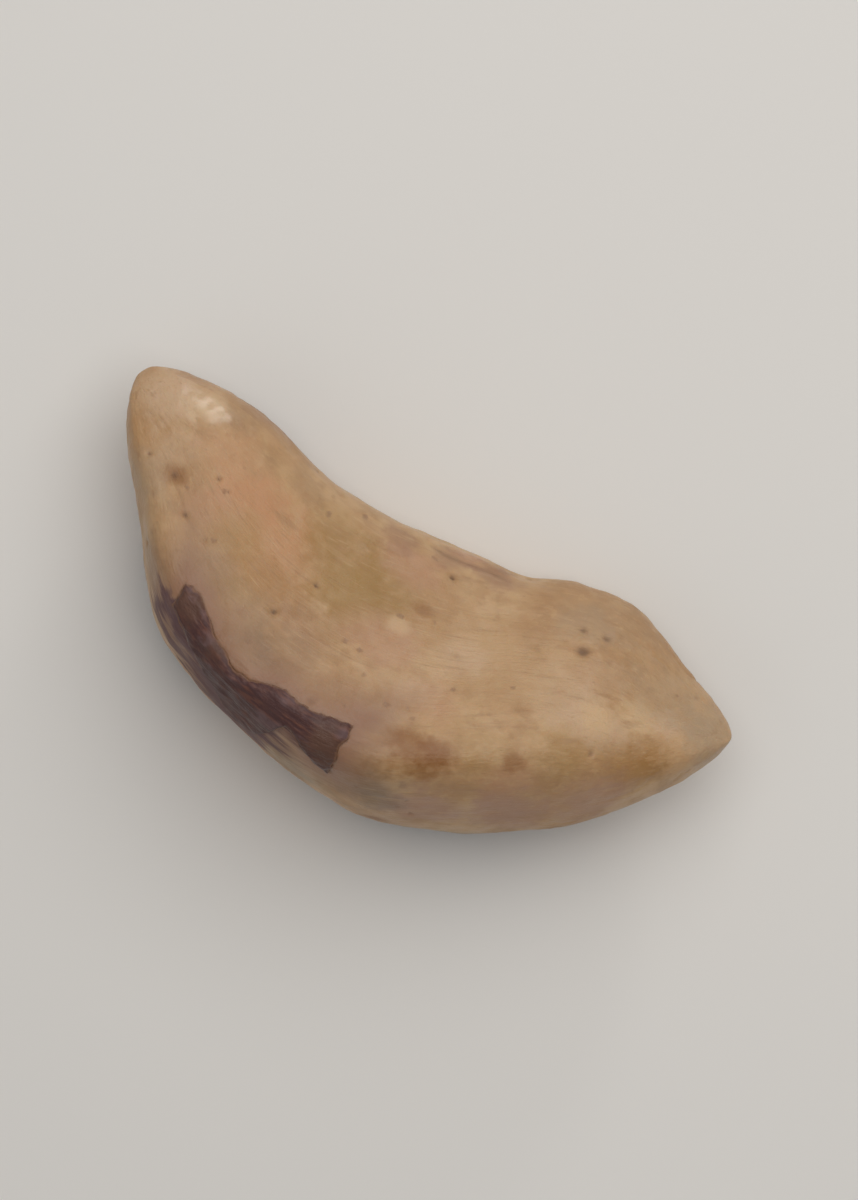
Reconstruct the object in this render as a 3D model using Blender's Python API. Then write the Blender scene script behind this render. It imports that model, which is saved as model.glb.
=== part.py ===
"""Shelled Brazil nut: one crescent-shaped kernel with torn remnants of its brown skin.

The kernel lies on one of its two side faces, the way such a nut comes to rest on a table.
+X runs along its length towards the broad end, +Y towards the hollow inner edge, +Z up.
The origin is on the surface it rests on, under the middle of its box.
Run with: blender --background --python part.py
"""

import bisect
import math

import bmesh
import bpy
from mathutils import Vector, noise

MILLIMETRE = 0.001

# Driving dimensions, in metres
LENGTH = 0.036          # tip to tip
AXIS_HEIGHT = 0.0054    # height of the two tips above the resting surface
SKIN_RAISE = 0.00028    # how far a remnant of skin stands above the bare flesh
SWELL_HEIGHT = 0.00022  # height of the gentle unevenness that every kernel has
SWELL_SPAN = 0.0085     # and its size along the surface

# How far the kernel reaches from the line between its tips, in millimetres, at eleven even
# stations from the narrow tip to the broad one: to its back, to its hollow inner edge, up and
# down. Each reach is thinned towards the tips by the half ellipse that rounds them.
BACK_REACH = (7.8, 9.6, 12.35, 12.85, 13.1, 13.6, 13.85, 13.25, 12.6, 11.8, 8.3)
HOLLOW_REACH = (3.8, 2.9, 2.05, 0.85, 0.75, 1.1, 1.8, 3.3, 4.25, 3.3, 2.3)
UPPER_REACH = (4.4, 5.2, 6.2, 6.9, 7.3, 7.4, 7.35, 7.1, 6.7, 5.9, 4.9)
LOWER_REACH = (4.0, 4.4, 5.0, 5.65, 5.75, 5.7, 5.75, 5.85, 5.5, 4.8, 4.0)

# The cross-section is a triangle with full sides: the direction that each side looks in, in
# degrees from +Y towards +Z, and its distance from the heart of the section.
SECTION_SIDES = (
    (60.0, 0.50),       # upper side face
    (158.0, 0.66),      # back, upper half
    (205.0, 0.62),      # back, lower half
    (270.0, 0.50),      # lower side face, which the nut lies on
    (350.0, 0.95),      # blunt inner edge
)

# At five even stations from tip to tip: how crisp the edges between the sides are, and how far
# the section is turned about X, in degrees
SECTION_EDGE = (3.5, 5.2, 5.6, 4.0, 3.0)
SECTION_TURN = (6.0, 3.0, -3.0, -17.0, -24.0)

# Shallow hollows: place along the length from 0 to 1, direction round the section in degrees,
# radius and depth in millimetres
HOLLOWS = (
    (0.40, 40.0, 5.0, 0.45),
    (0.74, 66.0, 4.0, 0.25),
    (0.635, 350.0, 2.4, 0.40),
    (0.55, 200.0, 5.0, 0.35),
    (0.30, 280.0, 4.5, 0.40),
)

# Remnants of skin: start and end along the length, and the directions of the two long edges at
# even stations between them, in degrees
REMNANTS = (
    (   # the strip along the upper edge of the back
        0.220, 0.530,
        (108.0, 106.0, 108.5, 111.8, 115.7, 115.8, 111.1, 109.3, 112.0, 110.9, 109.0, 108.0),
        (120.0, 122.7, 127.8, 132.2, 136.0, 148.5, 148.8, 140.5, 122.0, 123.5, 129.0, 132.0),
    ),
    # along the lower edge of the back
    (0.49, 0.83, (228.0, 220.0, 214.0, 218.0), (244.0, 260.0, 256.0, 240.0)),
    # on the back, near the narrow tip
    (0.14, 0.34, (206.0, 198.0, 196.0, 204.0), (216.0, 236.0, 240.0, 232.0)),
    # on the lower side face, near the broad tip and near the narrow one
    (0.67, 0.89, (280.0, 270.0, 274.0, 292.0), (298.0, 316.0, 320.0, 310.0)),
    (0.11, 0.29, (310.0, 300.0, 302.0, 312.0), (324.0, 336.0, 334.0, 326.0)),
)
TEAR_DEPTH = 0.00024    # how far the torn outline of a remnant wanders
TEAR_SPAN = 0.0026      # and the size of one tear along it
SKIN_SLOPE = 0.00030    # distance from the torn edge over which the skin rises to its full height

# Mesh density
RINGS = 100
SEGMENTS = 58
SAMPLES = 180           # directions in which a section is measured before it is fitted
BEND_PACE = 0.6         # how much closer the points lie where the section bends

FLESH_COLOR = (0.46, 0.30, 0.165, 1.0)
SKIN_COLOR = (0.085, 0.038, 0.028, 1.0)


def read_stations(values, u):
    """Smooth curve through evenly spaced values, read at u from 0 to 1."""
    last = len(values) - 1
    place = min(max(u, 0.0), 1.0) * last
    index = min(int(place), last - 1)
    t = place - index
    start, end = values[index], values[index + 1]
    slope_start = (end - values[index - 1]) / 2.0 if index > 0 else end - start
    slope_end = (values[index + 2] - start) / 2.0 if index + 2 <= last else end - start
    return (
        (2 * t**3 - 3 * t**2 + 1) * start
        + (t**3 - 2 * t**2 + t) * slope_start
        + (3 * t**2 - 2 * t**3) * end
        + (t**3 - t**2) * slope_end
    )


def raw_section_point(u, direction):
    """Point (y, z) of the section outline in one direction, before it is fitted."""
    edge = read_stations(SECTION_EDGE, u)
    total = 0.0
    for looks_to, distance in SECTION_SIDES:
        facing = math.cos(direction - math.radians(looks_to))
        if facing > 0.0:
            total += (facing / distance) ** edge
    radius = total ** (-1.0 / edge)
    turned = direction + math.radians(read_stations(SECTION_TURN, u))
    return radius * math.cos(turned), radius * math.sin(turned)


def raw_section(u):
    """Points of the raw section at u, in even directions all the way round."""
    return [raw_section_point(u, 2.0 * math.pi * step / SAMPLES) for step in range(SAMPLES + 1)]


def section_box(u):
    """Lowest and highest y and z of the raw section at u."""
    ys, zs = zip(*raw_section(u))
    return min(ys), max(ys), min(zs), max(zs)


def outline_paces():
    """Running total round the middle section of its length and of how much it bends."""
    outline = [Vector(point) for point in raw_section(0.5)]
    sides = [end - start for start, end in zip(outline, outline[1:])]
    paces = [0.0]
    for before, side in zip([sides[-1]] + sides, sides):
        paces.append(paces[-1] + side.length + BEND_PACE * before.angle(side))
    return paces


def paced_direction(share, paces):
    """Direction of the point that lies a share of the way round the middle section."""
    wanted = share * paces[-1]
    step = min(bisect.bisect_right(paces, wanted), SAMPLES) - 1
    part = (wanted - paces[step]) / (paces[step + 1] - paces[step])
    return 2.0 * math.pi * (step + part) / SAMPLES


def smooth_kernel_point(u, direction, box):
    """Point of the kernel without its relief: the section fitted to its four reaches."""
    thinning = math.sqrt(max(0.0, 4.0 * u * (1.0 - u))) * MILLIMETRE
    y_raw, z_raw = raw_section_point(u, direction)
    y_low, y_high, z_low, z_high = box
    back = -read_stations(BACK_REACH, u) * thinning
    hollow = read_stations(HOLLOW_REACH, u) * thinning
    lower = AXIS_HEIGHT - read_stations(LOWER_REACH, u) * thinning
    upper = AXIS_HEIGHT + read_stations(UPPER_REACH, u) * thinning
    return Vector((
        (u - 0.5) * LENGTH,
        back + (hollow - back) * (y_raw - y_low) / (y_high - y_low),
        lower + (upper - lower) * (z_raw - z_low) / (z_high - z_low),
    ))


def hollow_depth(point, centres):
    """Depth at a point of all the shallow hollows, in metres."""
    depth = 0.0
    for (_, _, radius, deepest), centre in zip(HOLLOWS, centres):
        away = (point - centre).length / (radius * MILLIMETRE)
        depth += deepest * MILLIMETRE * math.exp(-2.0 * away * away)
    return depth


def skin_cover(u, direction, point, box):
    """How far a point lies inside the torn outline of a remnant; below zero on bare flesh."""
    heart = (smooth_kernel_point(u, 0.0, box) + smooth_kernel_point(u, math.pi, box)) / 2.0
    reach = (point - heart).length
    degrees = math.degrees(direction)
    cover = -LENGTH
    for start, end, near_edge, far_edge in REMNANTS:
        share = (u - start) / (end - start)
        past_near = math.radians(degrees - read_stations(near_edge, share)) * reach
        before_far = math.radians(read_stations(far_edge, share) - degrees) * reach
        from_ends = min(u - start, end - u) * LENGTH
        cover = max(cover, min(past_near, before_far, from_ends))
    return cover + TEAR_DEPTH * noise.fractal(point / TEAR_SPAN, 0.6, 2.0, 3)


def kernel_mesh():
    """Closed mesh of the kernel: a sphere whose poles become the two tips."""
    shape = bmesh.new()
    bmesh.ops.create_uvsphere(shape, u_segments=SEGMENTS, v_segments=RINGS, radius=1.0)
    paces = outline_paces()
    boxes = {}
    places = {}
    for vert in shape.verts:
        u = round(0.5 + 0.5 * vert.co.z, 6)
        share = math.atan2(vert.co.y, vert.co.x) / (2.0 * math.pi) % 1.0
        direction = paced_direction(share, paces)
        if u not in boxes:
            boxes[u] = section_box(u)
        places[vert.index] = (u, direction)
        vert.co = smooth_kernel_point(u, direction, boxes[u])
    shape.normal_update()

    centres = [
        smooth_kernel_point(place, math.radians(direction), section_box(place))
        for place, direction, _, _ in HOLLOWS
    ]
    covers = {}
    for vert in shape.verts:
        u, direction = places[vert.index]
        covers[vert.index] = skin_cover(u, direction, vert.co, boxes[u])
        relief = SWELL_HEIGHT * noise.noise(vert.co / SWELL_SPAN) - hollow_depth(vert.co, centres)
        relief += SKIN_RAISE * min(max(covers[vert.index] / SKIN_SLOPE, 0.0), 1.0)
        vert.co += vert.normal * relief
    for vert in shape.verts:
        vert.co.z = max(vert.co.z, 0.0)

    for face in shape.faces:
        face.smooth = True
        skinned = sum(covers[vert.index] > 0.0 for vert in face.verts)
        face.material_index = 1 if 2 * skinned > len(face.verts) else 0

    xs = [vert.co.x for vert in shape.verts]
    ys = [vert.co.y for vert in shape.verts]
    middle = Vector(((min(xs) + max(xs)) / 2.0, (min(ys) + max(ys)) / 2.0, 0.0))
    bmesh.ops.translate(shape, verts=shape.verts, vec=-middle)
    mesh = bpy.data.meshes.new("kernel")
    shape.to_mesh(mesh)
    shape.free()
    return mesh


def plain_material(name, color, roughness):
    """Principled material in one colour."""
    material = bpy.data.materials.new(name)
    material.use_nodes = True
    shader = material.node_tree.nodes["Principled BSDF"]
    shader.inputs["Base Color"].default_value = color
    shader.inputs["Roughness"].default_value = roughness
    shader.inputs["Metallic"].default_value = 0.0
    return material


def build_brazil_nut():
    """Make the kernel in a collection named for the nut."""
    for old in list(bpy.data.objects):
        bpy.data.objects.remove(old, do_unlink=True)
    collection = bpy.data.collections.new("shelled_brazil_nut")
    bpy.context.scene.collection.children.link(collection)
    kernel = bpy.data.objects.new("kernel", kernel_mesh())
    kernel.data.materials.append(plain_material("bare_flesh", FLESH_COLOR, 0.45))
    kernel.data.materials.append(plain_material("brown_skin", SKIN_COLOR, 0.55))
    collection.objects.link(kernel)


build_brazil_nut()
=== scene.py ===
"""Looks of a shelled Brazil nut: waxy bare flesh, torn remnants of brown skin, a plain studio.

The kernel lies on one of its side faces. +X runs along it towards the broad end, +Y towards its
hollow inner edge and +Z up. Everything is in metres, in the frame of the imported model.
"""

import math
import random

import bpy
import numpy as np
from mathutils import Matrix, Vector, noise


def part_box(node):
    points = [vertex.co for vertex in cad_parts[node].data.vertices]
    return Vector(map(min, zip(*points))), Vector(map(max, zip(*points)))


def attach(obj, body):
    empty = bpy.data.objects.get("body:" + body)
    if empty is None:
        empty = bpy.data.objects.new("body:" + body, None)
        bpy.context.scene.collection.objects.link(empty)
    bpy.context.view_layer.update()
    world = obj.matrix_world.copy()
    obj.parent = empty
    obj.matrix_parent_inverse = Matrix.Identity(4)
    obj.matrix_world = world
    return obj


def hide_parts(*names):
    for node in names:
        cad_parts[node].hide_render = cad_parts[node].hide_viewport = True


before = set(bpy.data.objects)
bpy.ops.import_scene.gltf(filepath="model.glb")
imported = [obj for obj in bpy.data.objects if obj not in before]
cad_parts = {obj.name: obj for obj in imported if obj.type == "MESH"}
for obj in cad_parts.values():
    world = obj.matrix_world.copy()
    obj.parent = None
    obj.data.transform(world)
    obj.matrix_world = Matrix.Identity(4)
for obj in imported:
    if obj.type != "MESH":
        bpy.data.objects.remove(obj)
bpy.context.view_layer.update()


# Flesh of the kernel
# The seed itself: one dense, oily body, cream to tan, with three long sides and a hollow inner edge.
# It is waxy and lightly scarred where the shell and most of its brown skin have come away.
# It is one closed surface, lofted from tip to tip, with its dents, creases and pits pressed in.

MM = 0.001
LENGTH = 36.0 * MM          # tip to tip
AXIS_HEIGHT = 5.4 * MM      # height of the two tips above the resting surface
MIDDLE_GIRTH = 7.0 * MM     # radius of a round rod with the same girth as the middle section

# How far the kernel reaches from the line between its tips, in millimetres, at eleven even
# stations: to its back, to its hollow inner edge, up and down
BACK_REACH = (7.8, 9.6, 12.35, 12.85, 13.1, 13.6, 13.85, 13.25, 12.6, 11.8, 8.3)
HOLLOW_REACH = (3.8, 2.9, 2.05, 0.85, 0.75, 1.1, 1.8, 3.3, 4.25, 3.3, 2.3)
UPPER_REACH = (4.4, 5.2, 6.2, 6.9, 7.3, 7.4, 7.35, 7.1, 6.7, 5.9, 4.9)
LOWER_REACH = (4.0, 4.4, 5.0, 5.65, 5.75, 5.7, 5.75, 5.85, 5.5, 4.8, 4.0)

# The section's sides: the direction each looks in, in degrees from +Y towards +Z, and its distance
# from the heart; then, at five even stations, how crisp the edges between the sides are and how
# far the section turns, in degrees
SECTION_SIDES = ((60.0, 0.50), (158.0, 0.66), (205.0, 0.62), (270.0, 0.50), (350.0, 0.95))
SECTION_EDGE = (3.5, 5.2, 5.6, 4.0, 3.0)
SECTION_TURN = (6.0, 3.0, -3.0, -17.0, -24.0)

# Gentle unevenness, and shallow hollows: place along the length from 0 to 1, direction round the
# section in degrees, radius and depth
SWELL_HEIGHT = 0.22 * MM
SWELL_SPAN = 8.5 * MM
WAVE_HEIGHT = 0.10 * MM
WAVE_SPAN = 2.9 * MM
DIMPLE_HEIGHT = 0.035 * MM
DIMPLE_SPAN = 0.95 * MM
HOLLOWS = (
    (0.40, 40.0, 5.0 * MM, 0.45 * MM),
    (0.74, 66.0, 4.0 * MM, 0.25 * MM),
    (0.635, 350.0, 2.4 * MM, 0.40 * MM),
    (0.55, 200.0, 5.0 * MM, 0.35 * MM),
    (0.30, 280.0, 4.5 * MM, 0.40 * MM),
)

# Fine creases that run lengthwise and come and go
CREASE_DEPTH = 0.055 * MM
CREASE_SPAN = 1.5 * MM
CREASE_STRETCH = 7.0
CREASE_WIDTH = 0.10
CREASE_PATCH = 6.0 * MM     # size of the places that have creases and of those that have none

# Pits: place, direction, radius and depth. The first ones are the cluster on the broad end.
PITS = [
    (0.752, 40.0, 0.56 * MM, 0.14 * MM),
    (0.738, 24.5, 0.34 * MM, 0.11 * MM),
    (0.773, 26.0, 0.40 * MM, 0.12 * MM),
    (0.791, 21.5, 0.26 * MM, 0.06 * MM),
    (0.696, 43.5, 0.30 * MM, 0.07 * MM),
    (0.722, 34.0, 0.24 * MM, 0.05 * MM),
    (0.795, 43.5, 0.30 * MM, 0.07 * MM),
    (0.123, 83.5, 0.42 * MM, 0.12 * MM),
    (0.128, 72.0, 0.24 * MM, 0.06 * MM),
    (0.527, 29.5, 0.40 * MM, 0.06 * MM),
]
SCATTERED_PITS = 46
PIT_RADIUS = (0.16 * MM, 0.30 * MM)
PIT_DEPTH = (0.05 * MM, 0.15 * MM)
PIT_WAVER = 0.4             # how uneven a pit's outline is
PIT_WAVER_SPAN = 0.45 * MM

# A faint seam along the blunt inner edge: start and end along the length, its directions at even
# stations between them, how broad and deep it is, and how far it wanders
SEAM_START = 0.47
SEAM_END = 0.64
SEAM_PATH = (0.0, 2.0, 3.0, 5.5)
SEAM_WIDTH = 0.17 * MM
SEAM_DEPTH = 0.075 * MM
SEAM_WANDER = 0.12 * MM
SEAM_WANDER_SPAN = 1.3 * MM
SEAM_SHADE = 0.65           # how brown it is beside the deepest pit

RINGS = 392
SEGMENTS = 242
STATIONS = np.linspace(0.0, 1.0, 501)


def along_stations(values, u):
    """Smooth curve through evenly spaced values, read at u from 0 to 1."""
    values = np.asarray(values, float)
    slopes = np.gradient(values)
    last = len(values) - 1
    place = np.clip(u, 0.0, 1.0) * last
    index = np.minimum(place.astype(int), last - 1)
    t = place - index
    return (
        (2 * t**3 - 3 * t**2 + 1) * values[index]
        + (t**3 - 2 * t**2 + t) * slopes[index]
        + (3 * t**2 - 2 * t**3) * values[index + 1]
        + (t**3 - t**2) * slopes[index + 1]
    )


def section_point(u, direction):
    """y and z of the section's outline in these directions, before it is fitted."""
    edge = along_stations(SECTION_EDGE, u)
    total = 0.0
    for looks_to, distance in SECTION_SIDES:
        facing = np.maximum(np.cos(direction - math.radians(looks_to)), 0.0)
        total = total + (facing / distance) ** edge
    radius = total ** (-1.0 / edge)
    turned = direction + np.radians(along_stations(SECTION_TURN, u))
    return radius * np.cos(turned), radius * np.sin(turned)


ALL_ROUND = np.linspace(0.0, 2.0 * np.pi, 361)
outline_y, outline_z = section_point(STATIONS[:, None], ALL_ROUND[None, :])
SECTION_LIMITS = (outline_y.min(1), outline_y.max(1), outline_z.min(1), outline_z.max(1))


def kernel_points(u, direction):
    """Points of the smooth kernel, before its relief."""
    u, direction = np.broadcast_arrays(np.asarray(u, float), np.asarray(direction, float))
    thinning = np.sqrt(np.maximum(4.0 * u * (1.0 - u), 0.0)) * MM
    y_raw, z_raw = section_point(u, direction)
    y_low, y_high, z_low, z_high = (np.interp(u, STATIONS, limit) for limit in SECTION_LIMITS)
    back = -along_stations(BACK_REACH, u) * thinning
    hollow = along_stations(HOLLOW_REACH, u) * thinning
    lower = AXIS_HEIGHT - along_stations(LOWER_REACH, u) * thinning
    upper = AXIS_HEIGHT + along_stations(UPPER_REACH, u) * thinning
    return np.stack((
        (u - 0.5) * LENGTH,
        back + (hollow - back) * (y_raw - y_low) / (y_high - y_low),
        lower + (upper - lower) * (z_raw - z_low) / (z_high - z_low),
    ), axis=-1)


def rolled_straight(u, direction):
    """The same places on a straight rod, for grain that follows the kernel's bend."""
    u, direction = np.broadcast_arrays(np.asarray(u, float), np.asarray(direction, float))
    radius = MIDDLE_GIRTH * np.sqrt(np.maximum(4.0 * u * (1.0 - u), 0.0))
    return np.stack((
        (u - 0.5) * LENGTH,
        radius * np.cos(direction),
        radius * np.sin(direction),
    ), axis=-1)


def noise_at(points, span, octaves=1):
    """Smooth noise about zero at every point, with features about one span across."""
    places = (points / span).reshape(-1, 3).tolist()
    if octaves == 1:
        values = [noise.noise(place) for place in places]
    else:
        values = [noise.fractal(place, 0.6, 2.0, octaves) for place in places]
    return np.array(values).reshape(points.shape[:-1])


def smooth_step(values, low, high):
    """From 0 at low to 1 at high, eased at both ends."""
    t = np.clip((values - low) / (high - low), 0.0, 1.0)
    return t * t * (3.0 - 2.0 * t)


def gentle_relief(points):
    """Unevenness that the flesh and the skin on it share, along the surface's normal."""
    relief = SWELL_HEIGHT * noise_at(points, SWELL_SPAN) + WAVE_HEIGHT * noise_at(points, WAVE_SPAN)
    for place, direction, radius, depth in HOLLOWS:
        centre = kernel_points(place, math.radians(direction))
        away = np.linalg.norm(points - centre, axis=-1) / radius
        relief -= depth * np.exp(-2.0 * away**2)
    return relief


def crease_relief(rolled):
    """Fine lengthwise creases: narrow valleys where a stretched noise passes through zero."""
    stretched = rolled / np.array((CREASE_STRETCH, 1.0, 1.0))
    valley = np.maximum(1.0 - np.abs(noise_at(stretched, CREASE_SPAN)) / CREASE_WIDTH, 0.0)
    present = smooth_step(noise_at(rolled, CREASE_PATCH), -0.05, 0.30)
    return -CREASE_DEPTH * valley * present


def even_directions(count):
    """Directions whose points lie evenly round the middle section."""
    y, z = section_point(np.full_like(ALL_ROUND, 0.5), ALL_ROUND)
    run = np.concatenate(([0.0], np.cumsum(np.hypot(np.diff(y), np.diff(z)))))
    return np.interp(np.arange(count) / count * run[-1], run, ALL_ROUND)


def lofted_body(name, rows, first_tip, last_tip):
    """Closed mesh through rings of points, drawn together in one point at each tip."""
    ring_count, count = rows.shape[:2]
    points = np.concatenate(([first_tip], rows.reshape(-1, 3), [last_tip]))
    last = len(points) - 1
    faces = []
    for step in range(count):
        after = (step + 1) % count
        faces.append((0, 1 + after, 1 + step))
        for ring in range(ring_count - 1):
            near = 1 + ring * count
            far = near + count
            faces.append((near + step, near + after, far + after, far + step))
        faces.append((last, last - count + step, last - count + after))
    mesh = bpy.data.meshes.new(name)
    mesh.from_pydata(points.tolist(), [], faces)
    mesh.shade_smooth()
    return mesh


def read_normals(mesh):
    """Normal of every vertex, as rows of three."""
    normals = np.zeros(len(mesh.vertices) * 3)
    mesh.vertices.foreach_get("normal", normals)
    return normals.reshape(-1, 3)


def store(mesh, name, values):
    """Keep one number or one vector for each vertex, for the material to read."""
    if values.ndim == 1:
        attribute = mesh.attributes.new(name, "FLOAT", "POINT")
        attribute.data.foreach_set("value", values.astype(np.float32))
    else:
        attribute = mesh.attributes.new(name, "FLOAT_VECTOR", "POINT")
        attribute.data.foreach_set("vector", values.astype(np.float32).ravel())


# Where skin still clings: start and end along the length, and the directions of its two long
# edges at even stations between them. The first is the strip along the upper edge of the back.
REMNANTS = {
    "skin_strip": (
        0.220, 0.530,
        (108.0, 106.0, 108.5, 111.8, 115.7, 115.8, 111.1, 109.3, 112.0, 110.9, 109.0, 108.0),
        (120.0, 122.7, 127.8, 132.2, 136.0, 148.5, 148.8, 140.5, 122.0, 123.5, 129.0, 132.0),
    ),
    "skin_back_edge": (0.49, 0.83, (228.0, 220.0, 214.0, 218.0), (244.0, 260.0, 256.0, 240.0)),
    "skin_back_patch": (0.14, 0.34, (206.0, 198.0, 196.0, 204.0), (216.0, 236.0, 240.0, 232.0)),
    "skin_under_broad_end": (0.67, 0.89, (280.0, 270.0, 274.0, 292.0), (298.0, 316.0, 320.0, 310.0)),
    "skin_under_narrow_end": (0.11, 0.29, (310.0, 300.0, 302.0, 312.0), (324.0, 336.0, 334.0, 326.0)),
}
TEAR_DEPTH = 0.24 * MM
TEAR_SPAN = 2.6 * MM
FINE_TEAR_DEPTH = 0.11 * MM
FINE_TEAR_SPAN = 0.55 * MM


def torn_edge(points):
    """How far the torn outline wanders at every point."""
    coarse = TEAR_DEPTH * noise_at(points, TEAR_SPAN, 3)
    return coarse + FINE_TEAR_DEPTH * noise_at(points, FINE_TEAR_SPAN, 2)


def depth_inside(remnant, u, direction, points):
    """How far a point lies inside a remnant's even outline; below zero outside it."""
    start, end, near_edge, far_edge = remnant
    share = (u - start) / (end - start)
    degrees = np.degrees(direction)
    heart = kernel_points(u, 0.0) * 0.5 + kernel_points(u, np.pi) * 0.5
    reach = np.linalg.norm(points - heart, axis=-1)
    past_near = np.radians(degrees - along_stations(near_edge, share)) * reach
    before_far = np.radians(along_stations(far_edge, share) - degrees) * reach
    from_ends = np.minimum(u - start, end - u) * LENGTH
    return np.minimum(np.minimum(past_near, before_far), from_ends)


# One ring of points for each step from tip to tip
ring_angle = np.linspace(0.0, np.pi, RINGS + 1)[1:-1, None]
ring_u = 0.5 - 0.5 * np.cos(ring_angle)
ring_direction = even_directions(SEGMENTS)[None, :]
ring_u, ring_direction = np.broadcast_arrays(ring_u, ring_direction)
tips = kernel_points(np.array((0.0, 1.0)), np.zeros(2))
flesh_mesh = lofted_body("flesh", kernel_points(ring_u, ring_direction), tips[0], tips[1])

flesh_u = np.concatenate(([0.0], ring_u.ravel(), [1.0]))
flesh_direction = np.concatenate(([0.0], ring_direction.ravel(), [0.0]))
flesh_points = kernel_points(flesh_u, flesh_direction)
flesh_rolled = rolled_straight(flesh_u, flesh_direction)
flesh_normals = read_normals(flesh_mesh)

# How far each point lies under the skin, or outside it
flesh_cover = np.full(len(flesh_points), -LENGTH)
for remnant in REMNANTS.values():
    flesh_cover = np.maximum(flesh_cover, depth_inside(remnant, flesh_u, flesh_direction, flesh_points))
flesh_cover += torn_edge(flesh_points)

# The pits, some on purpose and the others scattered
scatter = random.Random(7)
for _ in range(SCATTERED_PITS):
    PITS.append((
        scatter.uniform(0.05, 0.95),
        scatter.uniform(0.0, 360.0),
        scatter.uniform(*PIT_RADIUS),
        scatter.uniform(*PIT_DEPTH),
    ))
flesh_pit = np.zeros(len(flesh_points))
pit_depth = np.zeros(len(flesh_points))
pit_waver = 1.0 + PIT_WAVER * noise_at(flesh_points, PIT_WAVER_SPAN)
for place, direction, radius, depth in PITS:
    centre = kernel_points(place, math.radians(direction))
    away = np.linalg.norm(flesh_points - centre, axis=-1) / radius
    dent = np.exp(-1.6 * (away * pit_waver)**2)
    flesh_pit = np.maximum(flesh_pit, dent * depth / PIT_DEPTH[1])
    pit_depth = np.maximum(pit_depth, dent * depth)

# The seam, which wanders a little and fades at both ends
seam_share = (flesh_u - SEAM_START) / (SEAM_END - SEAM_START)
seam_turn = flesh_direction - np.radians(along_stations(SEAM_PATH, seam_share))
off_seam = ((seam_turn + np.pi) % (2.0 * np.pi) - np.pi) * MIDDLE_GIRTH
off_seam += SEAM_WANDER * noise_at(flesh_points, SEAM_WANDER_SPAN, 2)
seam = np.exp(-(off_seam / SEAM_WIDTH)**2)
seam *= smooth_step(seam_share, 0.0, 0.2) * (1.0 - smooth_step(seam_share, 0.7, 1.0))
flesh_pit = np.maximum(flesh_pit, SEAM_SHADE * seam)
pit_depth = np.maximum(pit_depth, SEAM_DEPTH * seam)

# A thin film of skin dulls the back just below the strip, its dark colour partly painted shade
# of the back: how far it reaches past the strip's lower edge, and between which places along the
# length it comes in and fades out
FILM_AND_SHADE_REACH = (2.4 * MM, 5.6 * MM)
FILM_AND_SHADE_START = (0.15, 0.225)
FILM_AND_SHADE_END = (0.38, 0.55)
strip_start, strip_end, _, strip_far_edge = REMNANTS["skin_strip"]
far_edge_here = along_stations(strip_far_edge, (flesh_u - strip_start) / (strip_end - strip_start))
past_strip = (flesh_direction - np.radians(far_edge_here)) * MIDDLE_GIRTH
past_strip += 2.0 * torn_edge(flesh_points)
flesh_film_and_shade = smooth_step(past_strip, -0.6 * MM, 0.0) * (1.0 - smooth_step(past_strip, *FILM_AND_SHADE_REACH))
flesh_film_and_shade *= smooth_step(flesh_u, *FILM_AND_SHADE_START) * (1.0 - smooth_step(flesh_u, *FILM_AND_SHADE_END))

# The whole relief, with the flesh a little lower under the skin
SINK_UNDER_SKIN = 0.08 * MM
relief = gentle_relief(flesh_points) + crease_relief(flesh_rolled) - pit_depth
relief += DIMPLE_HEIGHT * noise_at(flesh_points, DIMPLE_SPAN, 2)
relief -= SINK_UNDER_SKIN * smooth_step(flesh_cover, 0.0, 0.3 * MM)
flesh_points = flesh_points + flesh_normals * relief[:, None]

# How sharply the surface bends round the section, so that the ridges can be rubbed paler: the
# bulge of each point above the middle of two others, a few steps to either side
RUB_REACH = 4
RUBBED_BULGE = (0.02 * MM, 0.11 * MM)
ring_points = kernel_points(ring_u, ring_direction)
beside = (np.roll(ring_points, RUB_REACH, axis=1) + np.roll(ring_points, -RUB_REACH, axis=1)) / 2.0
bulge = ((ring_points.reshape(-1, 3) - beside.reshape(-1, 3)) * flesh_normals[1:-1]).sum(axis=1)
flesh_ridge = np.concatenate(([0.0], smooth_step(bulge, *RUBBED_BULGE), [0.0]))

# The flat spot that it rests on, a little higher where skin covers the flesh
lowest = np.where(flesh_cover > 0.1 * MM, SINK_UNDER_SKIN, 0.0)
flesh_points[:, 2] = np.maximum(flesh_points[:, 2], lowest)
cad_low, cad_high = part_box("kernel")
to_frame = np.array((
    (cad_low.x + cad_high.x - flesh_points[:, 0].min() - flesh_points[:, 0].max()) / 2.0,
    (cad_low.y + cad_high.y - flesh_points[:, 1].min() - flesh_points[:, 1].max()) / 2.0,
    0.0,
))
flesh_mesh.vertices.foreach_set("co", (flesh_points + to_frame).ravel())
flesh_mesh.update()
store(flesh_mesh, "rolled", flesh_rolled / MM)
store(flesh_mesh, "pit", flesh_pit)
store(flesh_mesh, "cover", flesh_cover / MM)
store(flesh_mesh, "ridge", flesh_ridge)
store(flesh_mesh, "film_and_shade", flesh_film_and_shade)

PALE_FLESH = (0.567, 0.362, 0.189, 1.0)
TAN_FLESH = (0.471, 0.273, 0.127, 1.0)
DEEP_FLESH = (0.385, 0.214, 0.096, 1.0)
PIT_BROWN = (0.135, 0.070, 0.036, 1.0)
STREAK_BROWN = (0.304, 0.160, 0.073, 1.0)
STAIN_BROWN = (0.235, 0.120, 0.065, 1.0)
# Pale cream of rubbed flesh, also used for painted highlights
RUBBED_CREAM_AND_HIGHLIGHT = (0.648, 0.442, 0.249, 1.0)
# Brown beside the skin, partly a stain and partly painted shade
BESIDE_SKIN_STAIN_AND_SHADE = (0.324, 0.179, 0.103, 1.0)
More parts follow.
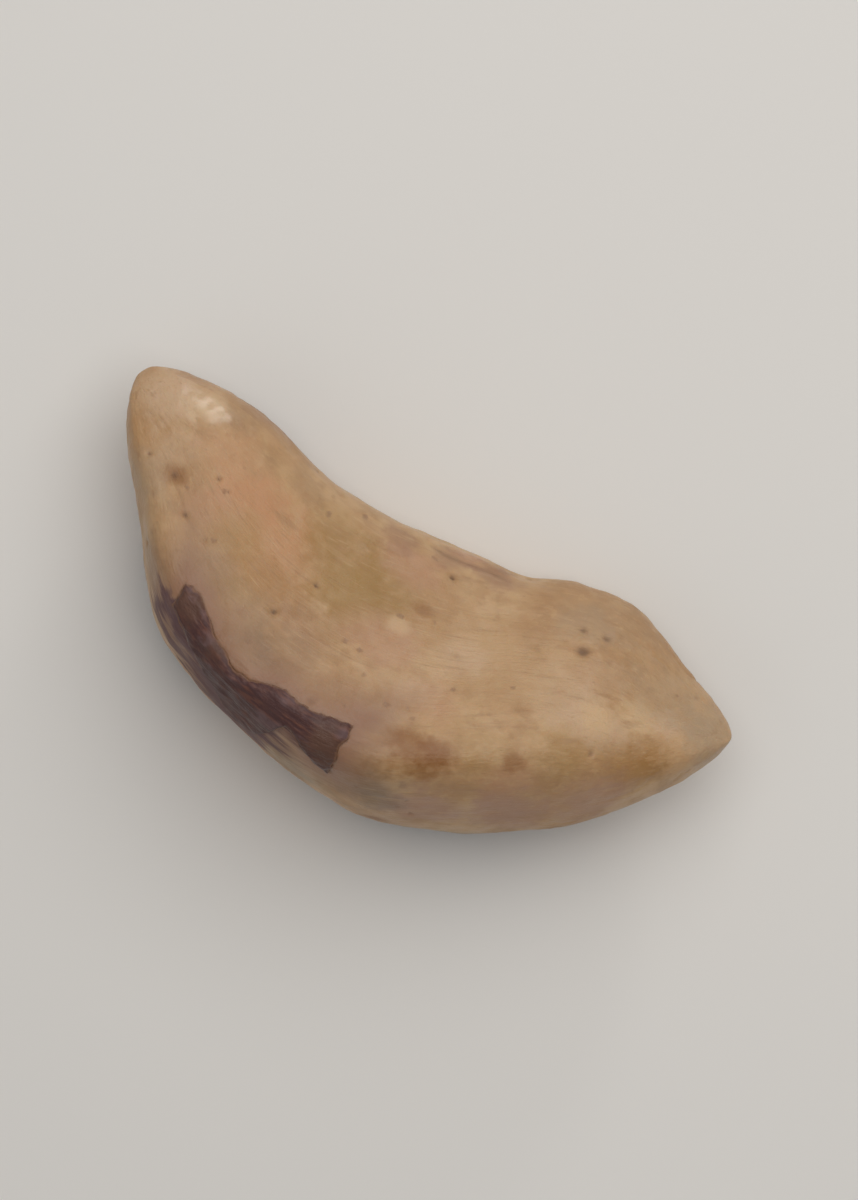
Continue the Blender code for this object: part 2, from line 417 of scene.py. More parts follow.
# Dark colours of the film, partly painted shade of the back
FILM_AND_SHADE_MAUVE = (0.112, 0.053, 0.065, 1.0)
FILM_AND_SHADE_BROWN = (0.150, 0.077, 0.075, 1.0)

# Soft tints in the flesh: place, direction, reach in millimetres, strength and colour. Each lies
# over the ones before it.
ORANGE = (0.560, 0.285, 0.140, 1.0)
OLIVE = (0.345, 0.190, 0.045, 1.0)
PINK = (0.496, 0.263, 0.154, 1.0)
CREAM = (0.600, 0.410, 0.260, 1.0)
GREY_CREAM = (0.420, 0.300, 0.190, 1.0)
# Colour of painted shade low on the back
PAINTED_SHADE_OLIVE = (0.200, 0.145, 0.090, 1.0)
GREY_TAN = (0.349, 0.205, 0.103, 1.0)
OCHRE = (0.355, 0.179, 0.051, 1.0)
RUST = (0.250, 0.090, 0.014, 1.0)
MAUVE = (0.304, 0.155, 0.096, 1.0)
DUSTY_PINK = (0.425, 0.242, 0.162, 1.0)
# Colour of painted shade along the back and beside the strip
PAINTED_SHADE_BROWN = (0.218, 0.127, 0.064, 1.0)
YELLOW_TAN = (0.415, 0.244, 0.086, 1.0)
TINTS = (
    (0.050, 20.0, 2.6, 0.75, CREAM),
    (0.190, 22.0, 2.6, 0.42, ORANGE),
    (0.255, 33.0, 3.0, 0.80, ORANGE),
    (0.315, 46.0, 2.6, 0.55, ORANGE),
    (0.320, 66.0, 2.2, 0.50, OCHRE),
    (0.190, 66.0, 1.8, 0.35, PINK),
    (0.405, 76.0, 2.2, 0.35, MAUVE),
    (0.115, 122.0, 1.9, 0.30, GREY_CREAM),
    # Painted shade at the edge of the back near the narrow tip
    (0.160, 128.0, 1.9, 0.45, PAINTED_SHADE_BROWN),
    (0.700, 113.0, 1.8, 0.45, YELLOW_TAN),
    (0.800, 114.0, 2.0, 0.60, YELLOW_TAN),
    (0.870, 110.0, 1.8, 0.45, YELLOW_TAN),
    (0.250, 56.0, 2.0, 0.50, YELLOW_TAN),
    # Darker beside the strip, the next three: partly a stain, partly painted shade
    (0.230, 100.0, 2.2, 0.70, GREY_TAN),
    (0.310, 98.0, 2.2, 0.70, GREY_TAN),
    (0.390, 96.0, 2.2, 0.60, GREY_TAN),
    (0.430, 66.0, 2.0, 0.45, OCHRE),
    (0.425, 30.0, 3.4, 0.72, OLIVE),
    (0.360, 12.0, 2.0, 0.35, OLIVE),
    (0.470, 26.0, 2.2, 0.35, OLIVE),
    (0.485, 12.0, 1.9, 0.55, PINK),
    (0.545, 358.0, 1.1, 0.70, PINK),
    # Darker along the hollow inner edge, the next five: partly a tint of the flesh, partly painted shade
    (0.450, 3.0, 1.3, 0.45, MAUVE),
    (0.520, 2.0, 1.3, 0.45, MAUVE),
    (0.590, 3.0, 1.5, 0.60, MAUVE),
    (0.155, 3.5, 1.4, 0.50, GREY_TAN),
    (0.294, 5.0, 1.4, 0.40, GREY_TAN),
    (0.500, 60.0, 2.5, 0.52, PINK),
    (0.590, 88.0, 2.2, 0.45, PINK),
    (0.085, 110.0, 1.8, 0.50, GREY_CREAM),
    (0.770, 84.0, 2.8, 0.55, CREAM),
    (0.791, 54.0, 1.6, 0.35, CREAM),
    (0.569, 85.0, 1.4, 0.35, CREAM),
    (0.108, 63.0, 1.4, 0.35, CREAM),
    (0.680, 62.0, 3.4, 0.55, PALE_FLESH),
    (0.830, 96.0, 2.2, 0.45, CREAM),
    (0.870, 86.0, 2.0, 0.50, PALE_FLESH),
    (0.865, 98.0, 1.7, 0.60, CREAM),
    # Paler on the ridge near the broad end: rubbed flesh and partly a painted highlight
    (0.820, 91.0, 1.3, 0.80, RUBBED_CREAM_AND_HIGHLIGHT),
    (0.872, 82.5, 1.5, 0.75, RUBBED_CREAM_AND_HIGHLIGHT),
    (0.915, 79.0, 1.3, 0.65, CREAM),
    # A pale fleck on the broad face, partly a painted highlight
    (0.507, 42.5, 0.8, 0.55, RUBBED_CREAM_AND_HIGHLIGHT),
    # Painted highlight: a cream spot under the polish on the narrow tip
    (0.110, 11.5, 1.3, 0.80, RUBBED_CREAM_AND_HIGHLIGHT),
    (0.520, 102.0, 1.0, 0.60, DUSTY_PINK),
    (0.560, 108.0, 2.0, 0.50, MAUVE),
    (0.605, 114.0, 2.3, 0.42, OCHRE),
    (0.915, 110.0, 1.5, 0.75, OCHRE),
    (0.905, 121.0, 2.2, 0.75, OCHRE),
    (0.800, 10.0, 3.0, 0.45, GREY_TAN),
    (0.965, 70.0, 2.4, 0.70, GREY_CREAM),
    (0.900, 40.0, 3.0, 0.40, GREY_CREAM),
    (0.740, 20.0, 2.0, 0.40, GREY_CREAM),
    # Darker beside the strip, the next two: partly a stain, partly painted shade
    (0.340, 105.0, 1.6, 0.55, PAINTED_SHADE_BROWN),
    (0.385, 107.5, 1.3, 0.60, PAINTED_SHADE_BROWN),
    # Painted shade low on the back, the next two
    (0.590, 134.0, 2.2, 0.75, PAINTED_SHADE_BROWN),
    (0.480, 150.0, 2.4, 0.52, PAINTED_SHADE_OLIVE),
    (0.614, 57.5, 1.6, 0.45, CREAM),
    (0.270, 94.5, 1.4, 0.45, YELLOW_TAN),
    (0.760, 131.0, 1.8, 0.50, PINK),
    (0.670, 148.0, 2.6, 0.80, DUSTY_PINK),
    # Painted shade low on the back
    (0.612, 144.0, 1.6, 0.45, PAINTED_SHADE_OLIVE),
    (0.780, 155.0, 2.6, 0.75, DUSTY_PINK),
    (0.880, 146.0, 2.6, 0.65, DUSTY_PINK),
    (0.160, 190.0, 2.4, 0.60, GREY_TAN),
    (0.480, 196.0, 3.2, 0.50, ORANGE),
    (0.720, 205.0, 2.6, 0.60, OLIVE),
    (0.900, 225.0, 2.0, 0.60, CREAM),
    (0.360, 262.0, 2.6, 0.60, PINK),
    (0.560, 300.0, 2.4, 0.60, ORANGE),
    (0.830, 340.0, 2.2, 0.60, OLIVE),
)

# Brown stains that lie over the grain
STAINS = (
    (0.613, 112.5, 1.40, 0.66, RUST),
    (0.646, 114.5, 1.25, 0.76, RUST),
    (0.748, 119.5, 0.68, 0.48, RUST),
    (0.527, 29.5, 0.75, 0.40, RUST),
    (0.124, 83.0, 0.90, 0.50, RUST),
    (0.560, 126.0, 0.90, 0.45, RUST),
    (0.340, 338.0, 1.1, 0.70, RUST),
    (0.620, 172.0, 0.9, 0.70, RUST),
    (0.790, 262.0, 1.0, 0.60, RUST),
)

# Where the oil has polished the flesh: place, direction and reach in millimetres
POLISHED = (0.108, 8.5, 1.7)


def add_node(tree, kind, inputs=None, **settings):
    """Add a node with its settings, and link or set its inputs."""
    node = tree.nodes.new(kind)
    for setting, value in settings.items():
        setattr(node, setting, value)
    for socket, value in (inputs or {}).items():
        if isinstance(value, bpy.types.NodeSocket):
            tree.links.new(value, node.inputs[socket])
        else:
            node.inputs[socket].default_value = value
    return node


def arithmetic(tree, operation, first, second=0.0):
    """Result of one operation on two values."""
    return add_node(tree, "ShaderNodeMath", {0: first, 1: second}, operation=operation).outputs[0]


def noise_value(tree, vector, scale, detail=2.0):
    """Noise from 0 to 1, with that many features to a unit."""
    inputs = {"Vector": vector, "Scale": scale, "Detail": detail}
    return add_node(tree, "ShaderNodeTexNoise", inputs).outputs[0]


def eased(tree, value, low, high, top=1.0):
    """From 0 where the value is low to top where it is high."""
    inputs = {"Value": value, "From Min": low, "From Max": high, "To Max": top}
    node = add_node(tree, "ShaderNodeMapRange", inputs, interpolation_type="SMOOTHSTEP")
    return node.outputs[0]


def blended(tree, share, first, second):
    """Colour that turns from the first to the second as the share rises."""
    inputs = {0: share, 6: first, 7: second}
    return add_node(tree, "ShaderNodeMix", inputs, data_type="RGBA").outputs[2]


def read_attribute(tree, name):
    """Node that reads what a mesh keeps for each vertex."""
    return add_node(tree, "ShaderNodeAttribute", attribute_name=name, attribute_type="GEOMETRY")


def new_group(name, inputs, outputs):
    """Empty node group with these sockets, and its two end nodes."""
    tree = bpy.data.node_groups.new(name, "ShaderNodeTree")
    for label, kind in inputs:
        tree.interface.new_socket(label, in_out="INPUT", socket_type=kind)
    for label, kind in outputs:
        tree.interface.new_socket(label, in_out="OUTPUT", socket_type=kind)
    return tree, tree.nodes.new("NodeGroupInput"), tree.nodes.new("NodeGroupOutput")


def use_group(tree, group, inputs):
    """Put a node group into a material with its own values, and give what comes out of it."""
    return add_node(tree, "ShaderNodeGroup", inputs, node_tree=group).outputs[0]


def place_in_millimetres(tree):
    """Where a point of the surface lies, in millimetres from the origin."""
    coordinates = tree.nodes.new("ShaderNodeTexCoord")
    inputs = {0: coordinates.outputs["Object"], 3: 1.0 / MM}
    return add_node(tree, "ShaderNodeVectorMath", inputs, operation="SCALE").outputs[0]


def make_soft_blotch():
    """Mask of one soft stain with a wandering outline, a little longer than it is wide."""
    tree, given, result = new_group(
        "soft_blotch",
        (
            ("Position", "NodeSocketVector"),
            ("Centre", "NodeSocketVector"),
            ("Reach", "NodeSocketFloat"),
            ("Wander", "NodeSocketFloat"),
        ),
        (("Mask", "NodeSocketFloat"),),
    )
    apart = add_node(
        tree, "ShaderNodeVectorMath", {0: given.outputs[0], 1: given.outputs[1]}, operation="SUBTRACT"
    )
    shorter = add_node(
        tree, "ShaderNodeVectorMath", {0: apart.outputs[0], 1: (0.85, 1.0, 1.0)}, operation="MULTIPLY"
    )
    distance = add_node(tree, "ShaderNodeVectorMath", {0: shorter.outputs[0]}, operation="LENGTH")
    share = arithmetic(tree, "DIVIDE", distance.outputs["Value"], given.outputs[2])
    wander = arithmetic(tree, "SUBTRACT", given.outputs[3], 0.5)
    wandering = arithmetic(tree, "ADD", share, arithmetic(tree, "MULTIPLY", wander, 1.1))
    tree.links.new(eased(tree, wandering, 1.05, 0.25), result.inputs[0])
    return tree


def make_lengthwise_grain():
    """Streaks along the kernel, from 0 to 1, of one width and many times that length."""
    tree, given, result = new_group(
        "lengthwise_grain",
        (
            ("Rolled", "NodeSocketVector"),
            ("Width", "NodeSocketFloat"),
            ("Stretch", "NodeSocketFloat"),
        ),
        (("Streaks", "NodeSocketFloat"),),
    )
    narrow = arithmetic(tree, "DIVIDE", 1.0, given.outputs[1])
    long = arithmetic(tree, "DIVIDE", narrow, given.outputs[2])
    scale = add_node(tree, "ShaderNodeCombineXYZ", {0: long, 1: narrow, 2: narrow})
    place = add_node(
        tree, "ShaderNodeVectorMath", {0: given.outputs[0], 1: scale.outputs[0]}, operation="MULTIPLY"
    )
    tree.links.new(noise_value(tree, place.outputs[0], 1.0, 3.0), result.inputs[0])
    return tree


def make_scattered_specks():
    """Mask of small round specks, in a share of evenly spaced cells."""
    tree, given, result = new_group(
        "scattered_specks",
        (
            ("Position", "NodeSocketVector"),
            ("Spacing", "NodeSocketFloat"),
            ("Size", "NodeSocketFloat"),
            ("Share", "NodeSocketFloat"),
        ),
        (("Mask", "NodeSocketFloat"),),
    )
    scale = arithmetic(tree, "DIVIDE", 1.0, given.outputs[1])
    cells = add_node(tree, "ShaderNodeTexVoronoi", {"Vector": given.outputs[0], "Scale": scale})
    chance = add_node(tree, "ShaderNodeSeparateColor", {0: cells.outputs["Color"]})
    size = arithmetic(tree, "MULTIPLY", given.outputs[2], chance.outputs[1])
    waver = noise_value(tree, given.outputs[0], arithmetic(tree, "MULTIPLY", scale, 3.0), 2.0)
    distance = arithmetic(tree, "ADD", cells.outputs["Distance"], arithmetic(tree, "MULTIPLY", waver, 0.35))
    near = eased(tree, arithmetic(tree, "SUBTRACT", distance, size), 0.17, -0.05)
    chosen = arithmetic(tree, "LESS_THAN", chance.outputs[0], given.outputs[3])
    tree.links.new(arithmetic(tree, "MULTIPLY", near, chosen), result.inputs[0])
    return tree


soft_blotch = make_soft_blotch()
lengthwise_grain = make_lengthwise_grain()
scattered_specks = make_scattered_specks()


def spot_mask(tree, position, wander, place, direction, reach):
    """Mask of one soft spot on the surface."""
    centre = (kernel_points(place, math.radians(direction)) + to_frame) / MM
    inputs = {"Position": position, "Centre": tuple(centre), "Reach": reach, "Wander": wander}
    return use_group(tree, soft_blotch, inputs)


def spread(tree, position, wander, spots, color):
    """Lay every soft spot of a list over the colour."""
    for place, direction, reach, strength, tint in spots:
        mask = spot_mask(tree, position, wander, place, direction, reach)
        color = blended(tree, arithmetic(tree, "MULTIPLY", mask, strength), color, tint)
    return color


def waxy_flesh():
    """Cream to tan flesh: mottled, tinted, streaked, specked, with stain and painted shade by the skin."""
    material = bpy.data.materials.new("waxy_flesh")
    material.use_nodes = True
    tree = material.node_tree
    shader = tree.nodes["Principled BSDF"]
    position = place_in_millimetres(tree)
    rolled = read_attribute(tree, "rolled").outputs["Vector"]
    cover = read_attribute(tree, "cover").outputs["Fac"]
    pit = read_attribute(tree, "pit").outputs["Fac"]
    ridge = read_attribute(tree, "ridge").outputs["Fac"]
    film_and_shade = read_attribute(tree, "film_and_shade").outputs["Fac"]

    # Broad mottling, then finer patches with a firmer edge
    mottle = noise_value(tree, position, 0.22, 4.0)
    color = blended(tree, eased(tree, mottle, 0.36, 0.66), TAN_FLESH, PALE_FLESH)
    patches = noise_value(tree, position, 0.50, 6.0)
    color = blended(tree, eased(tree, patches, 0.50, 0.64, 0.45), color, DEEP_FLESH)
    flecks = noise_value(tree, position, 1.7, 5.0)
    color = blended(tree, eased(tree, flecks, 0.56, 0.68, 0.35), color, PALE_FLESH)
    color = blended(tree, eased(tree, flecks, 0.42, 0.30, 0.35), color, DEEP_FLESH)

    # The soft tints, each with its own place, and an outline that frays along the grain
    streaks = use_group(tree, lengthwise_grain, {"Rolled": rolled, "Width": 0.55, "Stretch": 9.0})
    fibres = use_group(tree, lengthwise_grain, {"Rolled": rolled, "Width": 0.16, "Stretch": 14.0})
    wander = noise_value(tree, position, 0.55, 5.0)
    for fine, share in ((flecks, 0.50), (streaks, 0.45)):
        fraying = arithmetic(tree, "MULTIPLY", arithmetic(tree, "SUBTRACT", fine, 0.5), share)
        wander = arithmetic(tree, "ADD", wander, fraying)
    color = spread(tree, position, wander, TINTS, color)

    # Streaks along the length, and small specks
    color = blended(tree, eased(tree, streaks, 0.58, 0.76, 0.34), color, STREAK_BROWN)
    color = blended(tree, eased(tree, streaks, 0.42, 0.28, 0.25), color, PALE_FLESH)
    color = blended(tree, eased(tree, fibres, 0.58, 0.74, 0.22), color, STREAK_BROWN)
    color = blended(tree, eased(tree, fibres, 0.42, 0.26, 0.22), color, RUBBED_CREAM_AND_HIGHLIGHT)
    specks = use_group(
        tree, scattered_specks, {"Position": position, "Spacing": 0.85, "Size": 0.34, "Share": 0.22}
    )
    color = blended(tree, arithmetic(tree, "MULTIPLY", specks, 0.50), color, STAIN_BROWN)

    # Paler where the ridges were rubbed, brown in the pits, and stained beside the skin; that stain is
    # partly painted shade
    rubbed = arithmetic(tree, "MULTIPLY", ridge, eased(tree, flecks, 0.44, 0.58))
    color = blended(tree, arithmetic(tree, "MULTIPLY", rubbed, 0.16), color, RUBBED_CREAM_AND_HIGHLIGHT)
    color = spread(tree, position, wander, STAINS, color)
    color = blended(tree, eased(tree, pit, 0.10, 0.70, 0.35), color, STAIN_BROWN)
    ragged_pit = arithmetic(tree, "ADD", pit, arithmetic(tree, "MULTIPLY", fibres, 0.35))
    color = blended(tree, eased(tree, ragged_pit, 0.62, 1.10, 0.65), color, PIT_BROWN)
    near_skin = arithmetic(tree, "ADD", cover, arithmetic(tree, "MULTIPLY", wander, 0.9))
    color = blended(tree, eased(tree, near_skin, -2.60, -0.10, 0.70), color, BESIDE_SKIN_STAIN_AND_SHADE)
    color = blended(tree, eased(tree, near_skin, -0.80, 0.40, 0.70), color, MAUVE)
    color = blended(tree, eased(tree, cover, -0.16, 0.02, 0.85), color, STAIN_BROWN)

    # The film below the strip, partly painted shade of the back, which runs out in slivers along
    # the fibres
    slivers = arithmetic(tree, "MULTIPLY", arithmetic(tree, "SUBTRACT", streaks, 0.5), 1.5)
    slivers = arithmetic(tree, "ADD", slivers, arithmetic(tree, "SUBTRACT", fibres, 0.5))
    sliver_edge = arithmetic(tree, "ADD", film_and_shade, slivers)
    filmed_and_shaded = arithmetic(tree, "MULTIPLY", eased(tree, sliver_edge, 0.20, 0.80), eased(tree, film_and_shade, 0.0, 0.3))
    worn = use_group(tree, lengthwise_grain, {"Rolled": rolled, "Width": 0.80, "Stretch": 4.5})
    unbroken = arithmetic(tree, "SUBTRACT", 0.92, eased(tree, worn, 0.52, 0.66, 0.50))
    filmed_and_shaded = arithmetic(tree, "MULTIPLY", filmed_and_shaded, unbroken)
    film_and_shade_color = blended(tree, eased(tree, fibres, 0.40, 0.62), FILM_AND_SHADE_MAUVE, FILM_AND_SHADE_BROWN)
    color = blended(tree, filmed_and_shaded, color, film_and_shade_color)
    tree.links.new(color, shader.inputs["Base Color"])

    # Oily where it is smooth, duller in the patches, pits and beside the skin
    roughness = eased(tree, patches, 0.35, 0.70, 0.16)
    roughness = arithmetic(tree, "ADD", roughness, 0.40)
    roughness = arithmetic(tree, "ADD", roughness, arithmetic(tree, "MULTIPLY", pit, 0.25))
    roughness = arithmetic(tree, "ADD", roughness, arithmetic(tree, "MULTIPLY", filmed_and_shaded, 0.25))
    tree.links.new(roughness, shader.inputs["Roughness"])
    polish = spot_mask(tree, position, wander, *POLISHED)
    gloss = arithmetic(tree, "ADD", arithmetic(tree, "MULTIPLY", polish, 0.90), 0.10)
    gloss = arithmetic(tree, "MULTIPLY", gloss, arithmetic(tree, "SUBTRACT", 1.0, filmed_and_shaded))
    tree.links.new(gloss, shader.inputs["Coat Weight"])

    # Grain, scuffs and pores too fine for the mesh
    grain = noise_value(tree, position, 5.5, 4.0)
    height = arithmetic(tree, "MULTIPLY", grain, 0.55)
    height = arithmetic(tree, "ADD", height, arithmetic(tree, "MULTIPLY", fibres, 0.6))
    height = arithmetic(tree, "ADD", height, arithmetic(tree, "MULTIPLY", streaks, 0.7))
    height = arithmetic(tree, "SUBTRACT", height, arithmetic(tree, "MULTIPLY", specks, 0.4))
    bump = add_node(tree, "ShaderNodeBump", {"Strength": 1.0, "Distance": 0.055 * MM, "Height": height})
    tree.links.new(bump.outputs[0], shader.inputs["Normal"])

    shader.inputs["Subsurface Weight"].default_value = 0.22
    shader.inputs["Subsurface Radius"].default_value = (1.0, 0.45, 0.2)
    shader.inputs["Subsurface Scale"].default_value = 1.1 * MM
    shader.inputs["Coat Roughness"].default_value = 0.26
    return material


flesh = bpy.data.objects.new("flesh", flesh_mesh)
bpy.context.scene.collection.objects.link(flesh)
flesh_mesh.materials.append(waxy_flesh())
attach(flesh, "root")
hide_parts("kernel")


# Remnants of skin
# Thin, dry, purplish-brown skin that stuck to the flesh when the rest was rubbed off in shelling.
# Each is a sheet a fraction of a millimetre thick with torn, slightly curled edges. It grew on the
# kernel and clings to it, in a strip along the edge of the back and in patches on the hidden sides.

SKIN_THICKNESS = 0.12 * MM
SKIN_LIFT = 0.10 * MM       # of its outer face above the flesh, at the torn edge
SKIN_SWELL = 0.16 * MM      # how much more it rises inside the edge
SWELL_REACH = 0.35 * MM     # and over what distance
LEAST_LIFT = 0.04 * MM      # where a wrinkle dips
WRINKLE_HEIGHT = 0.07 * MM
WRINKLE_SPAN = 0.55 * MM
WRINKLE_STRETCH = 4.0
CURL_HEIGHT = 0.13 * MM
CURL_REACH = 0.55 * MM
CURL_SPAN = 1.7 * MM        # size of the places where the edge curls
SKIN_SPACING = 0.075 * MM   # between the points of a sheet
SKIN_MARGIN = 1.1 * MM      # round the even outline, for the torn one to wander in
MARGIN_TURN = 1.6           # and how much more of it round the section, for the thinner ends


def torn_outline(u, direction, inside):
    """Move the points just outside the torn edge onto it, so that the edge runs clean."""
    u_total = np.zeros_like(u)
    direction_total = np.zeros_like(u)
    count = np.zeros_like(u)
    for step in ((-1, -1), (-1, 0), (-1, 1), (0, -1), (0, 1), (1, -1), (1, 0), (1, 1)):
        near = np.roll(inside, step, axis=(0, 1))
        crosses = (inside <= 0.0) & (near > 0.0)
        share = np.where(crosses, inside / np.where(crosses, inside - near, 1.0), 0.0)
        u_total += np.where(crosses, u + share * (np.roll(u, step, axis=(0, 1)) - u), 0.0)
        turned = np.roll(direction, step, axis=(0, 1)) - direction
        direction_total += np.where(crosses, direction + share * turned, 0.0)
        count += crosses
    on_edge = count > 0
    u = np.where(on_edge, u_total / np.maximum(count, 1), u)
    direction = np.where(on_edge, direction_total / np.maximum(count, 1), direction)
    return u, direction, np.maximum(inside, 0.0)


def surface_normals(u, direction):
    """Normals of the smooth kernel, from steps too small to see."""
    step = 1e-4
    along = kernel_points(u + step, direction) - kernel_points(u - step, direction)
    round_it = kernel_points(u, direction + step) - kernel_points(u, direction - step)
    normals = np.cross(round_it, along)
    return normals / np.linalg.norm(normals, axis=-1, keepdims=True)


def skin_sheet(name, remnant):
    """Open sheet of one remnant, cut along its torn outline."""
    start, end, near_edge, far_edge = remnant
    margin_u = SKIN_MARGIN / LENGTH
    margin_turn = SKIN_MARGIN / MIDDLE_GIRTH * MARGIN_TURN
    low = math.radians(min(near_edge)) - margin_turn
    high = math.radians(max(far_edge)) + margin_turn
    row_count = int((end - start + 2 * margin_u) * LENGTH / SKIN_SPACING)
    column_count = int((high - low) * MIDDLE_GIRTH / SKIN_SPACING)
    u, direction = np.meshgrid(
        np.linspace(start - margin_u, end + margin_u, row_count),
        np.linspace(low, high, column_count),
        indexing="ij",
    )
    points = kernel_points(u, direction)
    inside = depth_inside(remnant, u, direction, points) + torn_edge(points)
    shown = inside > 0.0
    u, direction, inside = torn_outline(u, direction, inside)
    points = kernel_points(u, direction)
    rolled = rolled_straight(u, direction)

    wrinkles = noise_at(rolled / np.array((WRINKLE_STRETCH, 1.0, 1.0)), WRINKLE_SPAN, 2)
    loose = np.maximum(noise_at(points, CURL_SPAN), 0.0) * 2.0
    curl = CURL_HEIGHT * loose * np.maximum(1.0 - inside / CURL_REACH, 0.0) ** 2
    within = smooth_step(inside, 0.0, SWELL_REACH)
    lift = SKIN_LIFT + SKIN_SWELL * within + WRINKLE_HEIGHT * wrinkles * (0.3 + 0.7 * within) + curl
    lift = np.maximum(lift, LEAST_LIFT) + gentle_relief(points)
    points = points + surface_normals(u, direction) * lift[..., None]
    points[..., 2] = np.maximum(points[..., 2], 0.0)

    corners = shown[:-1, :-1] | shown[1:, :-1] | shown[:-1, 1:] | shown[1:, 1:]
    index = np.arange(u.size).reshape(u.shape)
    faces = np.stack((index[:-1, :-1], index[:-1, 1:], index[1:, 1:], index[1:, :-1]), axis=-1)[corners]
    used, renumbered = np.unique(faces, return_inverse=True)
    mesh = bpy.data.meshes.new(name)
    kept_points = (points + to_frame).reshape(-1, 3)[used]
    mesh.from_pydata(kept_points.tolist(), [], renumbered.reshape(-1, 4).tolist())
    mesh.shade_smooth()
    store(mesh, "rolled", rolled.reshape(-1, 3)[used] / MM)
    store(mesh, "cover", inside.ravel()[used] / MM)
    store(mesh, "raised", wrinkles.ravel()[used])
    return mesh


SKIN_DARK = (0.070, 0.023, 0.021, 1.0)
SKIN_BROWN = (0.148, 0.053, 0.034, 1.0)
SKIN_BLOOM = (0.190, 0.118, 0.122, 1.0)
SKIN_TORN = (0.230, 0.115, 0.062, 1.0)
SKIN_CHESTNUT = (0.130, 0.060, 0.034, 1.0)

# Browner places in the strip, listed as the soft tints in the flesh are
SKIN_TINTS = (
    (0.240, 112.0, 1.3, 0.60, SKIN_CHESTNUT),
    (0.305, 114.0, 1.2, 0.45, SKIN_CHESTNUT),
    (0.512, 119.0, 1.6, 0.70, SKIN_CHESTNUT),
)


def dry_skin():
    """Purplish-brown skin: fibrous along the kernel, greyer on its wrinkles, redder where torn."""
    material = bpy.data.materials.new("dry_skin")
    material.use_nodes = True
    tree = material.node_tree
    shader = tree.nodes["Principled BSDF"]
    position = place_in_millimetres(tree)
    rolled = read_attribute(tree, "rolled").outputs["Vector"]
    cover = read_attribute(tree, "cover").outputs["Fac"]
    raised = read_attribute(tree, "raised").outputs["Fac"]

    fibres = use_group(tree, lengthwise_grain, {"Rolled": rolled, "Width": 0.13, "Stretch": 7.0})
    mottle = noise_value(tree, position, 1.1, 4.0)
    color = blended(tree, eased(tree, fibres, 0.42, 0.68), SKIN_DARK, SKIN_BROWN)
    color = blended(tree, eased(tree, mottle, 0.60, 0.40, 0.60), color, SKIN_DARK)
    color = spread(tree, position, mottle, SKIN_TINTS, color)
    bloom = arithmetic(tree, "MULTIPLY", eased(tree, raised, 0.05, 0.55), eased(tree, mottle, 0.45, 0.65))
    color = blended(tree, arithmetic(tree, "MULTIPLY", bloom, 0.55), color, SKIN_BLOOM)
    specks = use_group(
        tree, scattered_specks, {"Position": position, "Spacing": 0.40, "Size": 0.28, "Share": 0.22}
    )
    color = blended(tree, arithmetic(tree, "MULTIPLY", specks, 0.45), color, SKIN_BROWN)
    torn = arithmetic(tree, "SUBTRACT", cover, arithmetic(tree, "MULTIPLY", mottle, 0.12))
    color = blended(tree, eased(tree, torn, 0.06, -0.06, 0.80), color, SKIN_TORN)
    tree.links.new(color, shader.inputs["Base Color"])

    tree.links.new(
        arithmetic(tree, "ADD", eased(tree, mottle, 0.35, 0.65, 0.22), 0.42), shader.inputs["Roughness"]
    )
    grain = noise_value(tree, position, 7.0, 3.0)
    height = arithmetic(tree, "ADD", fibres, arithmetic(tree, "MULTIPLY", grain, 0.5))
    bump = add_node(tree, "ShaderNodeBump", {"Strength": 1.0, "Distance": 0.06 * MM, "Height": height})
    tree.links.new(bump.outputs[0], shader.inputs["Normal"])
    return material


skin_finish = dry_skin()
for name, remnant in REMNANTS.items():
    piece = bpy.data.objects.new(name, skin_sheet(name, remnant))
    bpy.context.scene.collection.objects.link(piece)
    piece.data.materials.append(skin_finish)
    thickness = piece.modifiers.new("thickness", "SOLIDIFY")
    thickness.thickness = SKIN_THICKNESS
    thickness.offset = -1.0
    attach(piece, "root")
    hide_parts("kernel")


# Studio
# A plain pale floor under a large soft lamp from the side of the hollow edge, so that the back of
# the kernel falls into a soft shade. A weak lamp and an even surrounding light fill the shade, and
# a small low lamp gives the glint on the narrow tip.

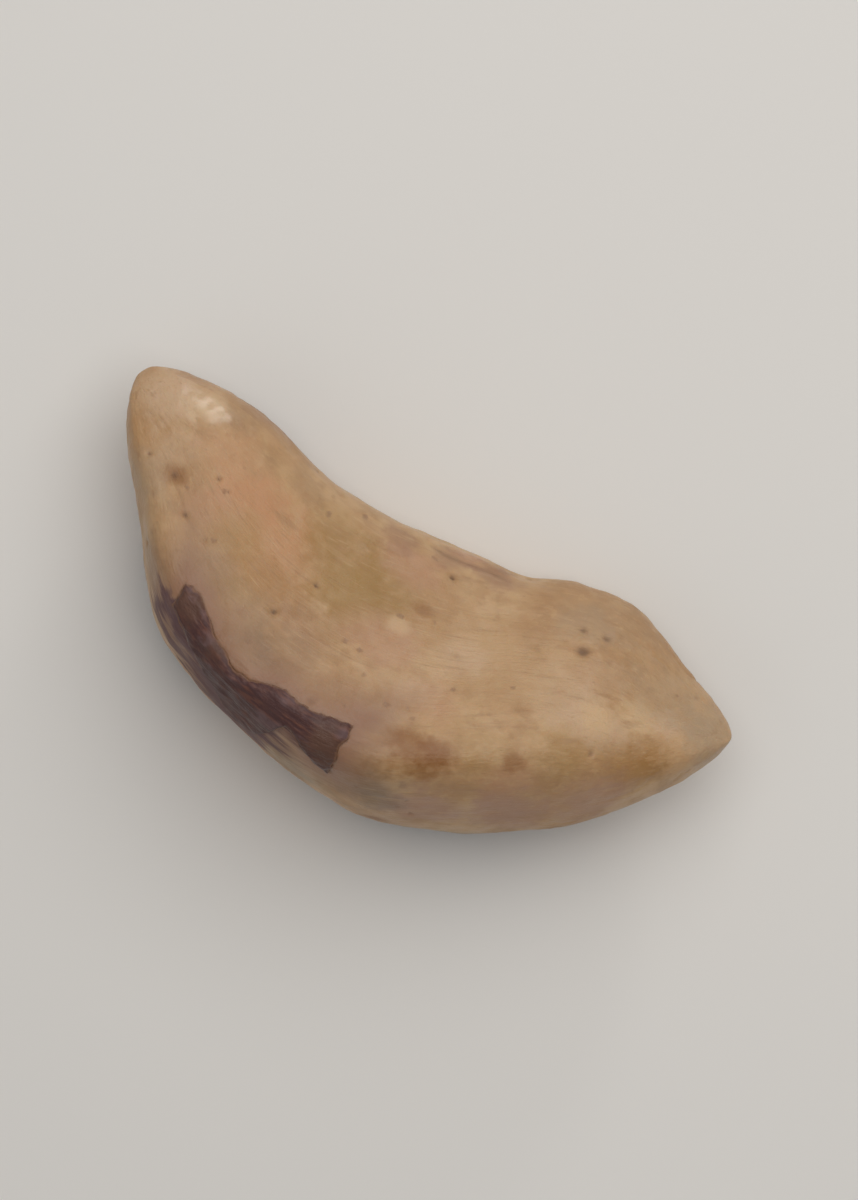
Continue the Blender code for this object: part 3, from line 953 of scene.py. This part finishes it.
FLOOR_SIZE = 3.0
floor_mesh = bpy.data.meshes.new("floor")
half = FLOOR_SIZE / 2.0
floor_mesh.from_pydata(
    [(-half, -half, 0.0), (half, -half, 0.0), (half, half, 0.0), (-half, half, 0.0)],
    [],
    [(0, 1, 2, 3)],
)
floor = bpy.data.objects.new("floor", floor_mesh)
bpy.context.scene.collection.objects.link(floor)
floor.location.z = -0.01 * MM
floor_finish = bpy.data.materials.new("pale_floor")
floor_finish.use_nodes = True
floor_shader = floor_finish.node_tree.nodes["Principled BSDF"]
floor_shader.inputs["Base Color"].default_value = (0.84, 0.825, 0.80, 1.0)
floor_shader.inputs["Roughness"].default_value = 0.75
floor_mesh.materials.append(floor_finish)

# The photograph looks straight down on the kernel, rolled about the line of sight
PHOTO_ROLL = math.radians(31.4)
to_right = np.array((math.cos(PHOTO_ROLL), math.sin(PHOTO_ROLL)))
to_top = np.array((-math.sin(PHOTO_ROLL), math.cos(PHOTO_ROLL)))
CAMERA_HEIGHT = 420.0 * MM
LENS = 240.0

flat = (flesh_points + to_frame)[:, :2]
across, upward = flat @ to_right, flat @ to_top
centre = to_right * (across.min() + across.max()) / 2.0 + to_top * (upward.min() + upward.max()) / 2.0
camera_data = bpy.data.cameras.new("camera")
camera_data.lens = LENS
camera_data.clip_start = 0.005
camera = bpy.data.objects.new("camera", camera_data)
bpy.context.scene.collection.objects.link(camera)
camera.location = (centre[0], centre[1], CAMERA_HEIGHT)
camera.rotation_euler = (0.0, 0.0, PHOTO_ROLL)
bpy.context.scene.camera = camera

world = bpy.data.worlds.new("surroundings")
world.use_nodes = True
surroundings = world.node_tree.nodes["Background"]
surroundings.inputs["Color"].default_value = (1.0, 0.985, 0.965, 1.0)
surroundings.inputs["Strength"].default_value = 0.24
bpy.context.scene.world = world
bpy.context.scene.view_settings.view_transform = "Standard"


def add_lamp(name, right, top, height, size, power, color):
    """Square soft lamp that looks at the kernel, placed by the photograph's right and top."""
    lamp = bpy.data.lights.new(name, "AREA")
    lamp.size = size
    lamp.energy = power
    lamp.color = color
    holder = bpy.data.objects.new(name, lamp)
    bpy.context.scene.collection.objects.link(holder)
    spot = to_right * right + to_top * top
    holder.location = (spot[0], spot[1], height)
    direction = holder.location.copy()
    holder.rotation_euler = direction.to_track_quat("Z", "Y").to_euler()
    holder.visible_camera = False


add_lamp("key", 0.06, 0.10, 0.28, 0.34, 0.60, (1.0, 0.97, 0.93))
add_lamp("fill", -0.22, -0.12, 0.20, 0.25, 0.05, (0.97, 0.98, 1.0))
add_lamp("glint", 0.112, 0.258, 0.09, 0.05, 0.075, (1.0, 0.98, 0.96))
